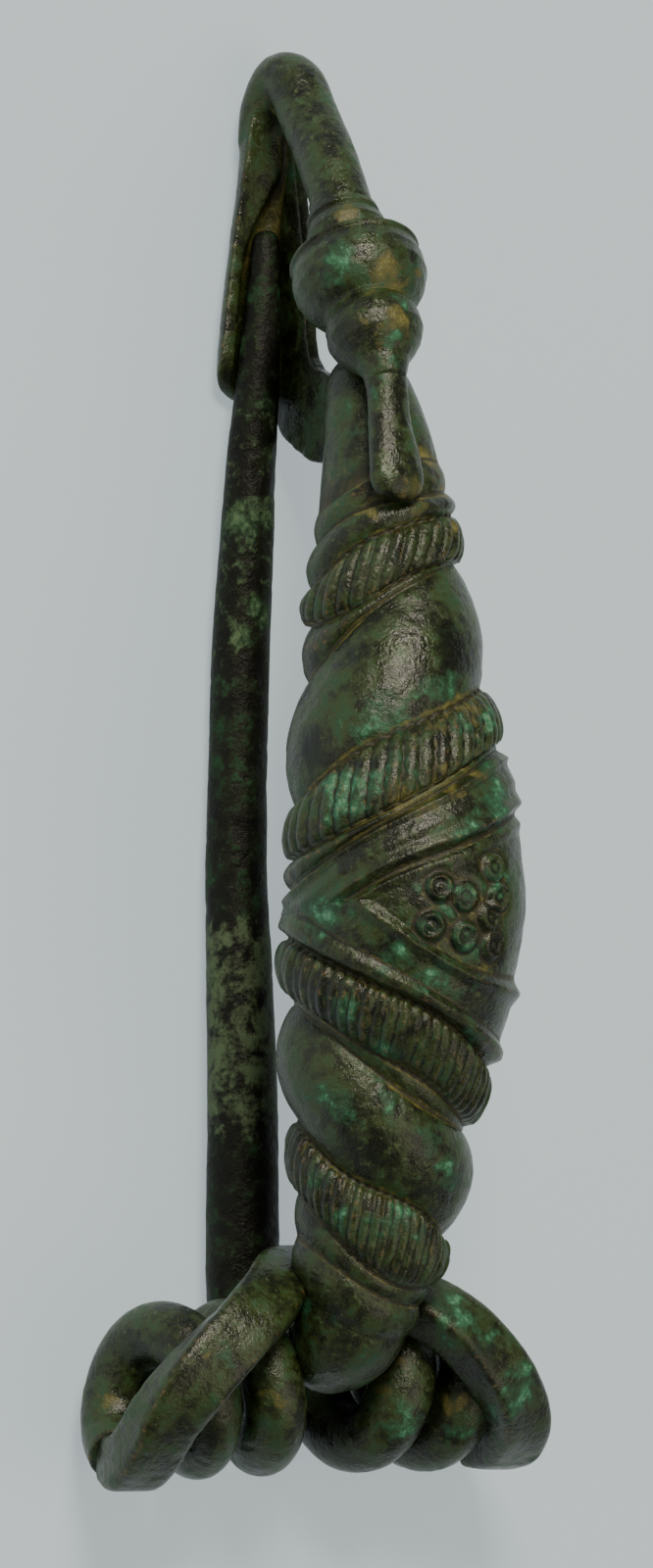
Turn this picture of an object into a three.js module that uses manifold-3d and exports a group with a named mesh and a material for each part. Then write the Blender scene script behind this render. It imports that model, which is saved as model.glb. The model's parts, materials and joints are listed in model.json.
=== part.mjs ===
// La Tene bronze brooch: relief bow, reverted foot, catch-plate, six-coil spring and pin.
// Millimetres. X runs from the spring (low) to the foot (high), Y along the spring, Z up.
import * as THREE from 'three'
import { mergeVertices } from 'three/addons/utils/BufferGeometryUtils.js'
import Module from 'manifold-3d'

const wasm = await Module()
wasm.setup()

// ---- driving dimensions ----
const COIL_R = 3.2           // wire centre line to spring axis, pin side
const COIL_R_BOW = 2.95      // the same on the bow side, where the wire is thicker
const WIRE_R = 1.62          // spring wire
const COIL_PITCH = 4.05
const COIL_PITCH_BOW = 4.3
const PIN_Y = 2.6            // the pin leaves the spring here
const PIN_GAP = 0.3          // parting between the coil's end and the pin
const WALL_Y = 0.25          // inner face of the catch-plate
const WALL_T = 0.8           // its thickness
const REST_Z = -5.6          // underside of the trough
const LEAN = 30 * Math.PI / 180   // the relief is laid out about this line, 30 deg off the crest
const BOW_SIDES = 26

// bow: x, centre y, centre z, radius at the bottom of the grooves
const BOW = [
  [-0.42, 1.0, 3.1, 0.0], [-0.3, 1.0, 3.2, 0.75], [0.05, 1.0, 3.55, 1.65], [0.84, 1.0, 4.11, 2.48],
  [2.0, 0.9, 4.72, 2.95], [3.53, 0.8, 5.27, 3.25], [5.83, 0.6, 5.88, 3.62], [8.62, 0.4, 6.29, 3.92],
  [11.5, 0.2, 6.72, 4.2], [14.5, 0.1, 7.27, 4.51], [17.97, 0.0, 7.95, 5.15], [21.42, 0.0, 8.95, 5.8],
  [25.68, 0.0, 9.7, 6.27], [29.16, 0.0, 9.65, 6.1], [32.4, 0.0, 9.34, 5.7], [34.84, 0.0, 8.98, 5.28],
  [38.12, 0.0, 8.29, 4.66], [41.68, 0.0, 7.68, 4.17], [44.41, 0.0, 7.4, 3.86], [48.21, 0.0, 7.2, 3.55],
  [52.06, 0.0, 6.7, 3.0], [54.86, 0.1, 6.05, 2.45], [56.0, 0.1, 5.7, 2.02], [56.7, 0.1, 5.4, 1.35],
  [57.05, 0.1, 5.25, 0.7], [57.15, 0.1, 5.2, 0.0]]

// relief lines: x as a cubic in s, where s = -1 and +1 are the two flanks the rings tilt between
const LINES = {
  c1: [50.21, 1.39, -0.82, 0], c2: [48.29, 0.87, -0.64, 0.62], g1: [46.49, 1.64, -0.82, 0.48],
  g2: [43.43, 2.43, 0.02, -0.67], g3: [42.82, 2.77, -0.99, 0.56], g4: [35.43, 2.23, -0.64, 1.1],
  g5a: [31.63, 3.05, 0.33, 0.2], g5: [31.13, 3.24, -0.2, 0.67], fu: [27.62, 2.54, -1.27, 1.88],
  fl: [24.35, -4.32, 1.04, 0.46], g6: [21.06, -2.55, -0.2, -1.02], g7a: [17.71, -2.54, 0.11, -1.04],
  g7: [16.56, -3.38, 0.87, -0.09], g8: [10.69, -1.66, 0.66, -1.54], g9: [6.73, -2.93, 1.5, 0.21],
  c10: [5.6, -2.2, 0.79, 0.27], c11: [3.15, -1.47, 1.09, 0]}

const at = (name, s) => {
  const c = LINES[name]
  return c[0] + s * (c[1] + s * (c[2] + s * c[3]))
}
const clamp = (v, a, b) => Math.min(b, Math.max(a, v))
const smooth = (a, b, v) => { const t = clamp((v - a) / (b - a), 0, 1); return t * t * (3 - 2 * t) }

// Catmull-Rom reading of a table on its first column
function table (rows, x) {
  let i = 0
  while (i < rows.length - 2 && x > rows[i + 1][0]) i++
  const p = rows[Math.max(0, i - 1)], a = rows[i], b = rows[i + 1], q = rows[Math.min(rows.length - 1, i + 2)]
  const h = b[0] - a[0]
  const t = clamp((x - a[0]) / h, 0, 1)
  return a.slice(1).map((av, k) => {
    const j = k + 1
    const ma = i > 0 ? (b[j] - p[j]) / (b[0] - p[0]) * h : b[j] - a[j]
    const mb = i < rows.length - 2 ? (q[j] - a[j]) / (q[0] - a[0]) * h : b[j] - a[j]
    const t2 = t * t, t3 = t2 * t
    return (2 * t3 - 3 * t2 + 1) * av + (t3 - 2 * t2 + t) * ma + (3 * t2 - 2 * t3) * b[j] + (t3 - t2) * mb
  })
}

// bands between neighbouring lines, from the foot end to the spring end: [upper, lower, rows, height, fullness]
const BANDS = [
  ['c1', 'c2', 2, 0.2, 1], ['c2', 'g1', 3, 0.5, 0.8], ['g1', 'g2', 5, 0.8, 0.6], ['g2', 'g3', 3, 0.5, 0.8],
  ['g3', 'g4', 8, 0.95, 0.75], ['g4', 'g5a', 6, 0.9, 0.6], ['g5a', 'g5', 3, 0.55, 0.8], ['g5', 'g6', 0, 0, 0],
  ['g6', 'g7a', 6, 1.05, 0.6], ['g7a', 'g7', 2, 0.2, 1], ['g7', 'g8', 7, 1.15, 0.75], ['g8', 'g9', 6, 0.95, 0.6],
  ['g9', 'c10', 2, 0.2, 1], ['c10', 'c11', 3, 0.28, 1]]

// chevron panel: nested ribs that follow the two arms, around a field shaped like a triangle
const UPPER_ARM = [[0, 0], [0.16, 0.62], [0.34, 0.42], [0.55, 0.68], [0.66, 0.46], [0.77, 0.66], [0.9, 0.2], [1, 0.45], [1.15, 0.24]]
const LOWER_ARM = [[0, 0], [0.24, 0.78], [0.42, 0.34], [0.8, 0.32], [1, 0.6], [1.15, 0.24]]
const along = (arm, t) => {
  let i = 0
  while (i < arm.length - 2 && t > arm[i + 1][0]) i++
  const f = clamp((t - arm[i][0]) / (arm[i + 1][0] - arm[i][0]), 0, 1)
  return arm[i][1] + (arm[i + 1][1] - arm[i][1]) * f
}
// rows of the panel from its upper to its lower line, each as x and height for a given s
function chevronRows () {
  const rows = []
  const frame = s => {
    const top = at('g5', s), bottom = at('g6', s)
    const up = Math.max(0.3, top - at('fu', s)), down = Math.max(0.3, at('fl', s) - bottom)
    const mitre = (top * down + bottom * up) / (up + down)
    return { top, bottom, up, down, mitre, tm: (top - mitre) / up }
  }
  const height = (f, t, arm, other) => {
    if (f.tm >= 1.15) return along(arm, t)
    const near = 1 - smooth(0, 0.12, f.tm - t)
    return along(arm, t) * (1 - near / 2) + along(other, Math.min(t, f.tm)) * near / 2
  }
  for (const [t] of UPPER_ARM) {
    rows.push(s => { const f = frame(s), u = Math.min(t, f.tm); return [f.top - u * f.up, height(f, u, UPPER_ARM, LOWER_ARM)] })
  }
  for (const k of [0.33, 0.67]) {
    rows.push(s => {
      const f = frame(s), a = f.top - Math.min(1.15, f.tm) * f.up, b = f.bottom + Math.min(1.15, f.tm) * f.down
      return [a + (b - a) * k, f.tm > 1.15 ? 0.24 : height(f, f.tm, UPPER_ARM, LOWER_ARM)]
    })
  }
  for (const [t] of LOWER_ARM.slice().reverse()) {
    if (t === 0) continue
    rows.push(s => { const f = frame(s), u = Math.min(t, f.tm); return [f.bottom + u * f.down, height(f, u, LOWER_ARM, UPPER_ARM) * (1 + 0.3 * smooth(0.4, 1, s))] })
  }
  return rows
}

function centre (x) { return table(BOW, x) }
function bowPoint (x, angle, lift) {
  const [cy, cz, r0] = centre(x)
  const r = Math.max(0, r0) + lift
  const c = Math.cos(angle), s = Math.sin(angle)
  return [x, cy + r * (c * Math.sin(LEAN) - s * Math.cos(LEAN)), cz + r * (c * Math.cos(LEAN) + s * Math.sin(LEAN))]
}

// closed surface from rings of equal length, each end closed with a fan about its middle
function closedRings (rings) {
  const n = rings[0].length, pos = [], idx = []
  for (const ring of rings) for (const p of ring) pos.push(...p)
  const middle = ring => [0, 1, 2].map(k => ring.reduce((t, p) => t + p[k], 0) / ring.length)
  const a = pos.length / 3
  pos.push(...middle(rings[0]), ...middle(rings[rings.length - 1]))
  for (let i = 0; i + 1 < rings.length; i++) {
    for (let j = 0; j < n; j++) {
      const k = (j + 1) % n, p = i * n + j, q = i * n + k, r = p + n, t = q + n
      idx.push(p, q, t, p, t, r)
    }
  }
  const last = (rings.length - 1) * n
  for (let j = 0; j < n; j++) {
    const k = (j + 1) % n
    idx.push(a, k, j, a + 1, last + j, last + k)
  }
  return solid(pos, idx)
}

// turns an indexed surface into a manifold solid, whichever way round it was wound
function solid (pos, idx) {
  let g = new THREE.BufferGeometry()
  g.setAttribute('position', new THREE.Float32BufferAttribute(pos, 3))
  g.setIndex(idx)
  g = mergeVertices(g, 1e-4)
  const v = g.attributes.position.array, f = Array.from(g.index.array)
  const kept = []
  for (let i = 0; i < f.length; i += 3) {
    if (f[i] !== f[i + 1] && f[i + 1] !== f[i + 2] && f[i] !== f[i + 2]) kept.push(f[i], f[i + 1], f[i + 2])
  }
  let volume = 0
  const P = i => new THREE.Vector3(v[3 * i], v[3 * i + 1], v[3 * i + 2])
  for (let i = 0; i < kept.length; i += 3) volume += P(kept[i]).dot(P(kept[i + 1]).cross(P(kept[i + 2])))
  if (volume < 0) for (let i = 0; i < kept.length; i += 3) [kept[i], kept[i + 1]] = [kept[i + 1], kept[i]]
  return new wasm.Manifold(new wasm.Mesh({ numProp: 3, vertProperties: new Float32Array(v), triVerts: new Uint32Array(kept) }))
}

// tube along a smooth path; the section is a rounded rectangle turned to face away from `away`
function tube (stations, sides, steps, away, power = 2) {
  const curve = new THREE.CatmullRomCurve3(stations.map(p => new THREE.Vector3(p[0], p[1], p[2])), false, 'centripetal')
  const n = stations.length - 1, rings = []
  for (let i = 0; i <= steps; i++) {
    const u = i / steps, w = u * n, k = Math.min(n - 1, Math.floor(w)), t = w - k
    const p = curve.getPoint(u), tangent = curve.getTangent(u)
    const out = away(p)
    out.addScaledVector(tangent, -out.dot(tangent)).normalize()
    const side = new THREE.Vector3().crossVectors(tangent, out)
    const e = t * t * (3 - 2 * t)
    const a = stations[k][3] * (1 - e) + stations[k + 1][3] * e
    const b = (stations[k][4] ?? stations[k][3]) * (1 - e) + (stations[k + 1][4] ?? stations[k + 1][3]) * e
    const ring = []
    for (let j = 0; j < sides; j++) {
      const q = 2 * Math.PI * (j + 0.5) / sides, c = Math.cos(q), s = Math.sin(q)
      const f = Math.pow(Math.pow(Math.abs(c), power) + Math.pow(Math.abs(s), power), -1 / power)
      const r = p.clone().addScaledVector(side, a * c * f).addScaledVector(out, b * s * f)
      ring.push([r.x, r.y, r.z])
    }
    rings.push(ring)
  }
  return closedRings(rings)
}
const fromAxis = p => new THREE.Vector3(p.x, 0, p.z)
const fromBelow = () => new THREE.Vector3(0, 0, 1)

// ---- bow ----
function bow () {
  const rings = []
  const ring = f => {
    const row = []
    for (let j = 0; j < BOW_SIDES; j++) {
      const angle = 2 * Math.PI * j / BOW_SIDES
      const [x, lift] = f(Math.sin(angle), Math.cos(angle))
      row.push(bowPoint(x, angle, lift))
    }
    rings.push(row)
  }
  for (const x of [57.14, 56.95, 56.4, 55.2, 53.6, 52.0]) ring(() => [x, 0])
  for (const [upper, lower, rows, height, full] of BANDS) {
    if (height === 0) {
      for (const row of chevronRows()) ring((s, c) => { const [x, h] = row(s); return [x, h * (c < 0 ? 0.85 : 1)] })
      continue
    }
    for (let i = 0; i < rows; i++) {
      const t = i / rows
      ring((s, c) => {
        const a = at(upper, s), b = at(lower, s), width = Math.max(0.04, a - b)
        const x = a - width * t
        const back = c < 0 ? 0.85 : 1
        const room = smooth(0.1, 1.4, width)
        return [x, height * room * back * Math.pow(Math.sin(Math.PI * t), full)]
      })
    }
  }
  for (const t of [0, 0.3, 0.6, 0.8, 0.93, 0.99]) ring(s => [at('c11', s) * (1 - t) - 0.41 * t, 0])
  return closedRings(rings)
}

// ---- spring: one wire from the bow's head through six coils to the pin, with the chord between the ends ----
const coilAt = (deg, radius, y) => {
  const q = deg * Math.PI / 180
  return [-radius * Math.sin(q), y, -radius * Math.cos(q)]
}
function pinSideCoils () {
  const path = []
  for (let d = -15; d <= 810; d += 27.5) {
    const r = (d < 60 ? 1.75 : WIRE_R + 0.13 * (1 - smooth(240, 400, d))) + 0.24 * smooth(470, 600, d)
    const bulge = Math.exp(-Math.pow((d - 450) / 80, 2))
    const radius = COIL_R + 0.3 * bulge - 0.3 * smooth(500, 600, d) + 1.0 * smooth(690, 810, d)
    path.push([...coilAt(d, radius, PIN_Y + COIL_PITCH * d / 360 + 0.2 * smooth(480, 700, d)), r])
  }
  return tube(path, 8, Math.round(path.length * 1.25), fromAxis)
}
function bowSideCoils () {
  const path = [[3.9, 0.8, 5.0, 1.7], [3.5, 0.2, 2.4, 1.9]]
  for (let d = -80; d <= 810; d += 30) {
    const y = -2.55 - COIL_PITCH_BOW * (d - 90) / 360
    path.push([...coilAt(d, COIL_R_BOW, y), 1.9 - 0.05 * (d + 80) / 890])
  }
  return tube(path, 8, Math.round(path.length * 1.3), fromAxis)
}
function chord () {
  return tube([
    [-3.9, 11.6, -1.0, 1.6, 1.5], [-4.05, 11.95, 0.6, 1.7, 1.6], [-3.1, 12.1, 2.6, 1.78, 1.5],
    [-1.3, 11.9, 4.5, 1.85, 1.4], [0.9, 10.6, 5.95, 1.85, 1.35], [3.3, 8.1, 6.1, 1.8, 1.35],
    [4.9, 5.7, 4.7, 1.75, 1.35], [5.9, 4.0, 2.9, 1.65, 1.35], [6.35, 2.6, 1.7, 1.6, 1.3],
    [6.4, 0.8, 1.2, 1.6, 1.3], [6.0, -1.6, 2.6, 1.62, 1.35],
    [4.2, -4.3, 5.2, 1.68, 1.35], [2.7, -6.3, 5.9, 1.68, 1.4], [0.4, -8.5, 5.75, 1.7, 1.45],
    [-1.7, -10.35, 4.1, 1.75, 1.5], [-2.85, -11.1, 2.0, 1.75, 1.6], [-3.05, -11.2, 0.6, 1.72, 1.66],
    [-2.95, -11.1, -0.6, 1.7, 1.66]], 8, 38, fromAxis, 3)
}

// ---- catch-plate: upright wall with its lower edge turned over into a trough ----
function wall () {
  const outline = [
    [51.25, 1.4], [51.6, -0.6], [52.35, -2.2], [53.4, -3.8], [54.6, -4.75], [58, -5.0], [66, -5.0], [71, -5.0],
    [72.9, -4.3], [73.3, -3.4], [71.9, -3.25], [70.8, -3.05], [69, -2.35], [67.3, -2.0], [65.9, -1.7],
    [63.9, -1.35], [61.5, -1.05], [58.75, -0.9], [57.6, -0.6], [56.8, 0.1], [56.3, 1.5], [56.1, 4.6], [52.0, 4.8]]
  const shape = new THREE.Shape(outline.map(p => new THREE.Vector2(p[0], p[1])))
  const g = new THREE.ExtrudeGeometry(shape, { depth: WALL_T, bevelEnabled: false })
  g.rotateX(Math.PI / 2)
  g.translate(0, WALL_Y, 0)
  const m = mergeVertices(new THREE.BufferGeometry().setAttribute('position', g.attributes.position), 1e-4)
  return solid(Array.from(m.attributes.position.array), Array.from(m.index.array))
}
// x, outer edge of the lip (y), top of the lip (z), inner half width, depth inside, thickness below, turn of the section
const TROUGH = [
  [55.3, 4.05, -3.6, 1.5, 1.15, 0.75, 102], [55.6, 4.08, -3.6, 1.5, 1.18, 0.77, 126], [56.1, 4.12, -3.6, 1.5, 1.2, 0.8, 150],
  [56.8, 4.14, -3.6, 1.5, 1.2, 0.88, 170], [57.8, 4.1, -3.6, 1.48, 1.2, 0.9, 180], [59.5, 3.88, -3.65, 1.4, 1.2, 0.86, 180],
  [61.8, 3.6, -3.75, 1.25, 1.12, 0.84, 180], [63.5, 3.32, -3.8, 1.1, 1.02, 0.88, 180],
  [65.7, 3.05, -3.7, 0.72, 0.8, 1.15, 180], [67.3, 2.88, -3.5, 0.3, 0.45, 1.65, 180],
  [68.6, 2.78, -3.3, 0.06, 0.06, 2.2, 180], [70.4, 2.62, -3.2, 0.05, 0.05, 2.2, 180], [71.6, 2.4, -3.2, 0.05, 0.05, 2.0, 180]]
const TROUGH_AT = [55.3, 55.45, 55.65, 55.95, 56.4, 57, 57.8, 59, 60.2, 61.4, 62.6, 63.8, 65, 65.9, 66.7, 67.4, 68.2, 69.3, 70.4, 71.1, 71.6]
function trough () {
  const rings = TROUGH_AT.map(x => {
    const [lip, top, a, depth, under, turn] = table(TROUGH, x)
    const inY = WALL_Y + a, outA = (lip - (WALL_Y - WALL_T)) / 2, outY = lip - outA
    const ring = []
    for (let j = 0; j <= 8; j++) {
      const q = Math.PI * (1 + turn / 180 * j / 8)
      ring.push([x, inY + a * Math.cos(q), top + depth * Math.sin(q)])
    }
    for (let j = 8; j >= 0; j--) {
      const q = Math.PI * (1 + turn / 180 * j / 8)
      const s = -Math.pow(Math.abs(Math.sin(q)), 0.8)
      ring.push([x, outY + outA * Math.cos(q), top + (depth + under) * s])
    }
    return ring
  })
  return closedRings(rings)
}

// ---- foot: bar that turns back on itself, mouldings, and a tongue that rests on the bow ----
function footBar () {
  return tube([
    [68.5, 1.1, -4.5, 1.2, 0.6], [70.2, 1.05, -4.3, 1.6, 1.08], [72.0, 0.85, -3.95, 1.74, 1.5],
    [73.4, 0.55, -2.95, 1.8, 1.62], [72.9, 0.42, -1.7, 1.78, 1.64], [71.3, 0.4, -0.5, 1.74, 1.64],
    [69.5, 0.48, 1.0, 1.72, 1.68], [67.4, 0.6, 2.6, 1.74, 1.72], [64.9, 0.72, 4.2, 1.75, 1.75]],
  10, 22, p => new THREE.Vector3(p.x - 69.8, 0, p.z + 2.9))
}
// mouldings turned about the foot's own line: distance along it, radius
const TURNED = [
  [-0.1, 0], [-0.1, 1.7], [0.75, 1.76], [0.88, 2.05], [1.2, 2.1], [1.38, 1.95], [1.6, 2.15], [2.2, 2.34],
  [2.8, 2.26], [3.1, 2.15], [3.3, 2.4], [3.85, 3.3], [4.0, 3.62], [4.25, 3.7], [5.0, 3.78], [5.8, 3.75],
  [6.6, 3.42], [7.2, 3.0], [7.6, 2.54], [7.8, 2.4], [8.15, 2.54], [8.7, 2.7], [9.4, 2.7], [10.05, 2.45],
  [10.65, 2.0], [11.25, 1.5], [11.9, 1.25], [12.4, 1.05], [12.6, 0.7], [12.6, 0]]
function mouldings () {
  const from = new THREE.Vector3(65.59, 0.74, 3.62), to = new THREE.Vector3(55.84, 1.29, 9.5)
  const dir = to.clone().sub(from).normalize()
  const side = new THREE.Vector3(0, 1, 0).addScaledVector(dir, -dir.y).normalize()
  const up = new THREE.Vector3().crossVectors(side, dir)
  const rings = []
  for (const [t, r] of TURNED) {
    const ring = []
    for (let j = 0; j < 16; j++) {
      const q = 2 * Math.PI * j / 16
      const p = from.clone().addScaledVector(dir, t).addScaledVector(side, Math.max(r, 0.02) * Math.cos(q))
      p.addScaledVector(up, Math.max(r, 0.02) * Math.sin(q))
      ring.push([p.x, p.y, p.z])
    }
    rings.push(ring)
  }
  return closedRings(rings)
}
function tongue () {
  return tube([
    [57.2, 1.22, 8.7, 1.2, 1.2], [55.8, 1.28, 9.4, 1.25, 1.18], [54.3, 1.32, 9.95, 1.22, 1.08],
    [52.1, 1.4, 10.45, 1.36, 1.0], [50.6, 1.45, 10.95, 1.56, 0.95], [49.5, 1.5, 11.25, 1.65, 0.92],
    [48.7, 1.5, 11.4, 1.4, 0.8], [48.3, 1.5, 11.45, 0.8, 0.5], [48.2, 1.5, 11.45, 0.1, 0.1]], 10, 13, fromBelow)
}
function neck () {
  return tube([
    [53.4, 0, 6.0, 2.0, 2.0], [54.0, -0.1, 4.3, 1.5, 2.1], [54.2, -0.15, 2.8, 0.9, 2.1],
    [54.3, -0.15, 1.9, 0.5, 1.9], [54.3, -0.15, 1.2, 0.3, 1.4]], 10, 8, () => new THREE.Vector3(1, 0, 0))
}

// ---- pin: x, y, z, radius across, radius up ----
const PIN = [
  [-0.3, PIN_Y, -COIL_R, 1.74, 1.74], [PIN_GAP, PIN_Y, -COIL_R - 0.02, 1.74, 1.74], [2.4, 2.64, -3.45, 1.8, 1.84],
  [4.9, 2.7, -3.66, 2.05, 2.02], [8.0, 2.76, -3.62, 2.08, 2.02], [15.5, 2.82, -3.5, 1.99, 1.95],
  [22.65, 2.87, -3.78, 1.9, 1.86], [28.15, 2.92, -4.05, 1.76, 1.74], [33.7, 2.82, -4.1, 1.7, 1.66],
  [41.4, 2.64, -4.05, 1.66, 1.62], [46.9, 2.44, -3.8, 1.56, 1.52], [52.4, 2.22, -3.55, 1.4, 1.34],
  [55.8, 2.0, -3.38, 1.28, 1.2], [61.3, 1.56, -3.35, 1.0, 0.92], [64.2, 1.36, -3.5, 0.8, 0.76],
  [64.8, 1.32, -3.52, 0.5, 0.48], [64.95, 1.31, -3.52, 0.08, 0.08]]
function pin () { return tube(PIN, 12, 18, fromBelow) }

// ---- put together ----
const parts = [bow(), bowSideCoils(), pinSideCoils(), chord(), wall(), trough(), footBar(), mouldings(), tongue(), neck()]
let body = parts.reduce((a, b) => a.add(b))
// the trough's underside is worn to a flat
body = body.subtract(wasm.Manifold.cube([22, 8, 4], false).translate([52, -2, REST_Z - 4]))
// the wire is parted square across where the pin leaves the spring
body = body.subtract(wasm.Manifold.cube([1.2, 4, 4], false).translate([0, PIN_Y - 1.92, -COIL_R - 2]))
const pinBody = pin().subtract(wasm.Manifold.cube([2, 6, 6], false).translate([PIN_GAP - 2, PIN_Y - 3, -COIL_R - 3]))

const whole = body.boundingBox(), other = pinBody.boundingBox()
const low = [0, 1, 2].map(k => Math.min(whole.min[k], other.min[k]))
const high = [0, 1, 2].map(k => Math.max(whole.max[k], other.max[k]))
const shift = [-(low[0] + high[0]) / 2, -(low[1] + high[1]) / 2, -low[2]]

function meshOf (name, manifold, material) {
  const m = manifold.translate(shift).getMesh()
  const g = new THREE.BufferGeometry()
  g.setAttribute('position', new THREE.BufferAttribute(Float32Array.from(m.vertProperties), 3))
  g.setIndex(Array.from(m.triVerts))
  g.computeVertexNormals()
  const mesh = new THREE.Mesh(g, material)
  mesh.name = name
  return mesh
}
const group = new THREE.Group()
group.name = 'fibula_brooch'
group.add(meshOf('brooch_body', body, new THREE.MeshStandardMaterial({ color: 0x2c4436, metalness: 1, roughness: 0.45 })))
group.add(meshOf('pin', pinBody, new THREE.MeshStandardMaterial({ color: 0x2b332a, metalness: 1, roughness: 0.45 })))

export default group
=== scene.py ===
# La Tene bronze brooch: relief bow, foot turned back on it, catch-plate, coiled spring and pin.
# Shapes are worked out in millimetres about the spring's axis, then moved into the frame in metres.
import json
import math

import bpy
import numpy as np
from mathutils import Matrix, Vector


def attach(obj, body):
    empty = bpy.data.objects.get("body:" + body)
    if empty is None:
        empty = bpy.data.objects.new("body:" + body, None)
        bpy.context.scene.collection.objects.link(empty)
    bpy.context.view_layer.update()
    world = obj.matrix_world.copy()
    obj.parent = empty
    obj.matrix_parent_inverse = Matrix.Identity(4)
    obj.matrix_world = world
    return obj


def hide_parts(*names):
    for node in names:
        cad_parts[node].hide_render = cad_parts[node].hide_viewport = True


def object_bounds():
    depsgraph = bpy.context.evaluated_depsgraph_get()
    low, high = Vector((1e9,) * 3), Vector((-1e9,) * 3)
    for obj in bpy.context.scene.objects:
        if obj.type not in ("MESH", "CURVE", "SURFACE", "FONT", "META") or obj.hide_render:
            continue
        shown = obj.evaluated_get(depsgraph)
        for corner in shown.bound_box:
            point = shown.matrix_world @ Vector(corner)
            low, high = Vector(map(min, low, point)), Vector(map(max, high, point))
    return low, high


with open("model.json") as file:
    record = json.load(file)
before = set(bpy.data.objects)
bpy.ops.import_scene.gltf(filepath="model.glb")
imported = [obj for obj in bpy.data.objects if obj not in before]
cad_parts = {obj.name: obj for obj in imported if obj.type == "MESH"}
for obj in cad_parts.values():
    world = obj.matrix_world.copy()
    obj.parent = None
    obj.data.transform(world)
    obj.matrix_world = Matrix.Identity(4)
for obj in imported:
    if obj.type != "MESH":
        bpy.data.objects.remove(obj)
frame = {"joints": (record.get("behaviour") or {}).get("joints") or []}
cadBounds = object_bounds()
cadLow, cadHigh = np.array(cadBounds[0]), np.array(cadBounds[1])

springAxis = frame["joints"][0]["pos_m"]       # the pin's hinge, on the spring's axis
pinY = 2.6                                     # mm along the axis, where the pin leaves the spring
origin = np.array([springAxis[0], springAxis[1] - pinY / 1000, springAxis[2]])


def toFrame(points):
    return np.asarray(points, float) / 1000 + origin


def smoothStep(a, b, v):
    t = np.clip((np.asarray(v, float) - a) / (b - a), 0, 1)
    return t * t * (3 - 2 * t)


def readRows(rows, x):
    # smooth reading of a table on its first column
    rows, x = np.array(rows, float), np.asarray(x, float)
    key = rows[:, 0]
    i = np.clip(np.searchsorted(key, x, side="right") - 1, 0, len(rows) - 2)
    before, after = np.maximum(i - 1, 0), np.minimum(i + 2, len(rows) - 1)
    h = key[i + 1] - key[i]
    t = np.clip((x - key[i]) / h, 0, 1)[..., None]
    a, b, p, q = rows[i][..., 1:], rows[i + 1][..., 1:], rows[before][..., 1:], rows[after][..., 1:]
    ma = (b - p) / (key[i + 1] - key[before])[..., None] * h[..., None]
    mb = (q - a) / (key[after] - key[i])[..., None] * h[..., None]
    return ((2 * t**3 - 3 * t**2 + 1) * a + (t**3 - 2 * t**2 + t) * ma
            + (3 * t**2 - 2 * t**3) * b + (t**3 - t**2) * mb)


def cloud(points, size, seed=0):
    # smooth random field from -1 to 1, its lumps about `size` mm across
    p = points / size + seed * 17.31
    cell = np.floor(p).astype(np.int64)
    f = p - cell
    f = f * f * (3 - 2 * f)
    total = np.zeros(len(p))
    for dx in (0, 1):
        for dy in (0, 1):
            for dz in (0, 1):
                n = (cell[:, 0] + dx) * 374761393 + (cell[:, 1] + dy) * 668265263 + (cell[:,
                                                                                          2] + dz) * 2246822519
                n = (n ^ (n >> 13)) & 0xffffffff
                n = (n * 1274126177) & 0xffffffff
                n = (n ^ (n >> 16)) & 0xffff
                w = (f[:, 0] if dx else 1 - f[:, 0]) * (f[:, 1] if dy else 1 - f[:, 1]) * (f[:,
                                                                                             2] if dz else 1 - f[:, 2])
                total += w * (n / 32767.5 - 1)
    return total


def ringSurface(rings):
    # rings of equal length to vertices and faces, each end closed about its middle
    rings = np.asarray(rings, float)
    count, sides = rings.shape[:2]
    points = np.concatenate([rings.reshape(-1, 3), rings[0].mean(0)[None], rings[-1].mean(0)[None]])
    i, j = np.meshgrid(np.arange(count - 1), np.arange(sides), indexing="ij")
    k = (j + 1) % sides
    quads = np.stack([i * sides + j, i * sides + k, (i + 1) * sides + k, (i + 1) * sides + j],
                     -1).reshape(-1, 4)
    faces = quads.tolist()
    last = (count - 1) * sides
    for j in range(sides):
        k = (j + 1) % sides
        faces += [[count * sides, k, j], [count * sides + 1, last + j, last + k]]
    return points, faces


def addMesh(name, points, faces):
    mesh = bpy.data.meshes.new(name)
    mesh.from_pydata(toFrame(points).tolist(), [], faces)
    mesh.update()
    piece = bpy.data.objects.new(name, mesh)
    bpy.context.scene.collection.objects.link(piece)
    # faces outward, whichever way round the rings ran
    co, volume = np.array(points), 0.0
    three = np.array([f for f in faces if len(f) == 3]).reshape(-1, 3)
    four = np.array([f for f in faces if len(f) == 4]).reshape(-1, 4)
    for part in (three, four[:, :3], four[:, [0, 2, 3]]):
        if len(part):
            a, b, c = co[part[:, 0]], co[part[:, 1]], co[part[:, 2]]
            volume += np.einsum("ij,ij->i", a, np.cross(b, c)).sum()
    if volume < 0:
        mesh.flip_normals()
    return piece


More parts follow.
